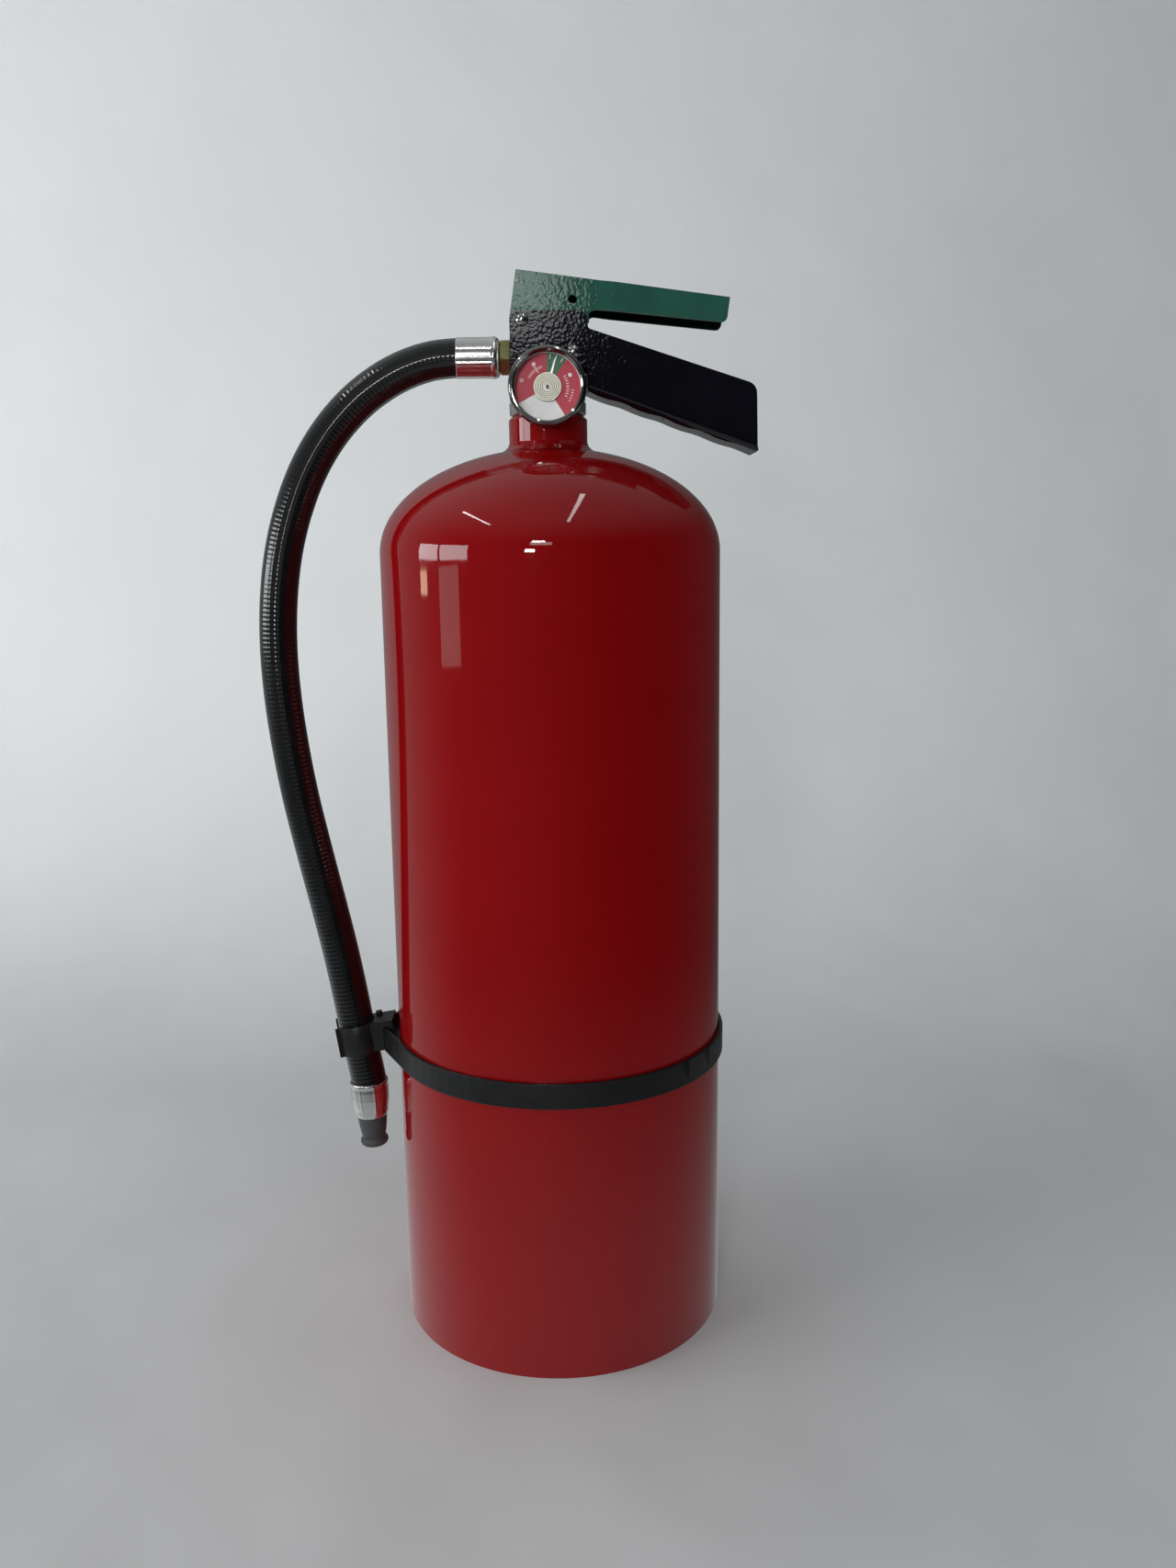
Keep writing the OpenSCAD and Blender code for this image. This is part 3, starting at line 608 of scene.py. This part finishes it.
def make_dial():
    """The dial's sectors, a pale rim that is a painted reflection of the lens's edge, and plain dashes and
    dots where the real one has print.
    """
    mats = [INK_RED, INK_GREEN, INK_WHITE, INK_PALE]
    verts, faces, kinds = [], [], []

    def add(kind, *band):
        before = len(faces)
        dial_band(verts, faces, *band)
        kinds.extend([kind] * (len(faces) - before))

    base, mark = 0.04, 0.08
    for ink, start, stop in SECTORS:
        add(ink, POST_HOLE, DIAL_RADIUS, start, stop, base)
    # Painted reflection: a pale ring at the dial's edge where the lens's edge catches the light.
    add(PALE_INK, 16.45, 16.9, 0, 360, mark)
    # A short pointer, dashes in two long arcs and a short one, ticks in the green sector, and dots.
    for degrees in (-34, -33):
        add(PALE_INK, 8.2, 11.8, degrees, degrees + 1.6, mark)
    for i in range(9):
        add(PALE_INK, 9.4, 10.8, -62 + i * 5.6, -60.2 + i * 5.6, mark)
        add(PALE_INK, 9.4, 10.8, 58 + i * 7, 60.2 + i * 7, mark)
    for i in range(5):
        add(PALE_INK, 12.2, 13.2, 96 + i * 6, 98 + i * 6, mark)
    for degrees in (6, 18, 30):
        add(PALE_INK, 13.6, 15.8, degrees - 0.9, degrees + 0.9, mark)
    for radius, degrees, size, hollow in DOTS:
        centre = dial_point(radius, degrees, mark)
        for i in range(16):
            a, b = (2 * math.pi * t / 16 for t in (i, i + 1))
            first = len(verts)
            for r, angle in ((hollow * size, a), (size, a), (size, b), (hollow * size, b)):
                verts.append(centre + Vector((r * MM * math.sin(angle), 0, r * MM * math.cos(angle))))
            faces.append((first, first + 1, first + 2, first + 3))
            kinds.append(PALE_INK)
    mesh_piece("dial_print", verts, faces, mats, smooth=False, face_mats=kinds)


make_dial()


# ---------------------------------------------------------------- stage and light


def make_stage():
    """A pale floor that curves up into a backdrop, with painted light: the backdrop glows a little, more on
    its left towards the windows.
    The object's reflections leave it out and show the room instead."""
    s = Shade("backdrop", Roughness=0.9, Specular_IOR_Level=0.1)
    s.set("Base Color", s.ramp(s.noise(2.2, 4, 0.55), (0.70, 0.71, 0.72), (0.78, 0.79, 0.80)))
    s.bump((s.noise(3.0, 3, 0.5), 0.02))
    x, y, _ = s.parts(s.place)
    # Painted light: the backdrop's glow, stronger on the left towards the windows and only up the back wall.
    painted_glow_leftward = s.ramp(x, 0.34, 0.14, -0.7, 0.8)
    painted_glow_up_backdrop = s.ramp(y, 0.0, 1.0, 0.3, 1.05)
    s.bsdf.inputs["Emission Color"].default_value = (0.94, 0.99, 1.0, 1)
    s.set("Emission Strength", s.math("MULTIPLY", painted_glow_leftward, painted_glow_up_backdrop))
    wide, front, bend, back, high, steps = 4.0, -3.2, 0.5, 1.1, 3.2, 16
    line = [(front, 0.0), (back - bend, 0.0)]
    for i in range(1, steps + 1):
        a = math.pi / 2 * i / steps
        line.append((back - bend + bend * math.sin(a), bend - bend * math.cos(a)))
    line.append((back, high))
    verts = [Vector((side, depth, height)) for depth, height in line for side in (-wide, wide)]
    faces = [(2 * i, 2 * i + 1, 2 * i + 3, 2 * i + 2) for i in range(len(line) - 1)]
    stage = mesh_piece("stage", verts, faces, [s.material], body=None)
    stage.visible_glossy = False


def area_light(name, place, target, size, watts, colour=(1, 1, 1)):
    data = bpy.data.lights.new(name, "AREA")
    data.shape = "RECTANGLE"
    data.size, data.size_y = size
    data.energy = watts
    data.color = colour
    light = bpy.data.objects.new(name, data)
    bpy.context.scene.collection.objects.link(light)
    light.location = place
    light.rotation_euler = (Vector(target) - Vector(place)).to_track_quat("-Z", "Y").to_euler()


def make_light():
    """A room with two windows, a curtain's edge and a lamp on the left, two bright panes with haze round them
    behind the camera, and two ceiling tubes."""
    world = bpy.data.worlds.new("room")
    bpy.context.scene.world = world
    world.use_nodes = True
    tree = world.node_tree

    def glow(way, start, stop, low, high):
        return map_range(tree, way, start, stop, low, high, interpolation_type="SMOOTHSTEP")

    def joined(operation, a, b):
        return add_node(tree, "ShaderNodeMath", {0: a, 1: b}, operation=operation).outputs[0]

    way = add_node(tree, "ShaderNodeTexCoord", {}).outputs["Generated"]
    x, y, z = add_node(tree, "ShaderNodeSeparateXYZ", {"Vector": way}).outputs
    sides = glow(x, -0.9, 0.7, 0.32, 0.05)
    backdrop_side = glow(y, -0.5, 0.5, 0.22, 1.0)
    ceiling = glow(z, 0.25, 0.95, 0.0, 0.25)
    floor = glow(z, -0.55, -0.28, 0.30, 0.0)
    walls = joined("MULTIPLY", sides, backdrop_side)
    total = joined("ADD", joined("ADD", walls, ceiling), floor)
    shade = tree.nodes["Background"]
    shade.inputs["Color"].default_value = (0.95, 0.98, 1.0, 1)
    tree.links.new(total, shade.inputs["Strength"])
    shoulder, front = (-0.05, -0.07, 0.42), (0, -0.09, 0.42)
    area_light("window_near", (-1.87, -0.88, 0.63), shoulder, (0.78, 0.42), 6.0, (0.96, 0.99, 1))
    area_light("window_far", (-2.04, -0.16, 0.63), shoulder, (0.60, 0.42), 5.0, (0.96, 0.99, 1))
    area_light("curtain", (-1.93, -0.75, 0.30), shoulder, (0.56, 0.20), 0.4, (1, 0.97, 0.95))
    area_light("lamp", (-2.04, 0.0, 0.37), shoulder, (0.22, 0.05), 0.25, (1, 0.72, 0.5))
    area_light("small_window", (-0.30, -2.27, 1.14), front, (0.34, 0.12), 3.5, (1, 0.99, 0.97))
    area_light("low_window", (-0.52, -2.27, 0.56), front, (0.24, 0.16), 6.0, (1, 0.99, 0.97))
    area_light("haze", (-0.24, -2.30, 1.00), front, (0.56, 0.20), 1.25, (0.97, 1, 1))
    area_light("tube_left", (-1.09, -0.55, 1.74), (-1.09, -0.55, 0), (0.05, 0.94), 2.5)
    area_light("tube_right", (0.31, -0.60, 1.74), (0.31, -0.60, 0), (0.05, 1.2), 1.3)


make_stage()
make_light()
bpy.context.scene.view_settings.view_transform = "Standard"
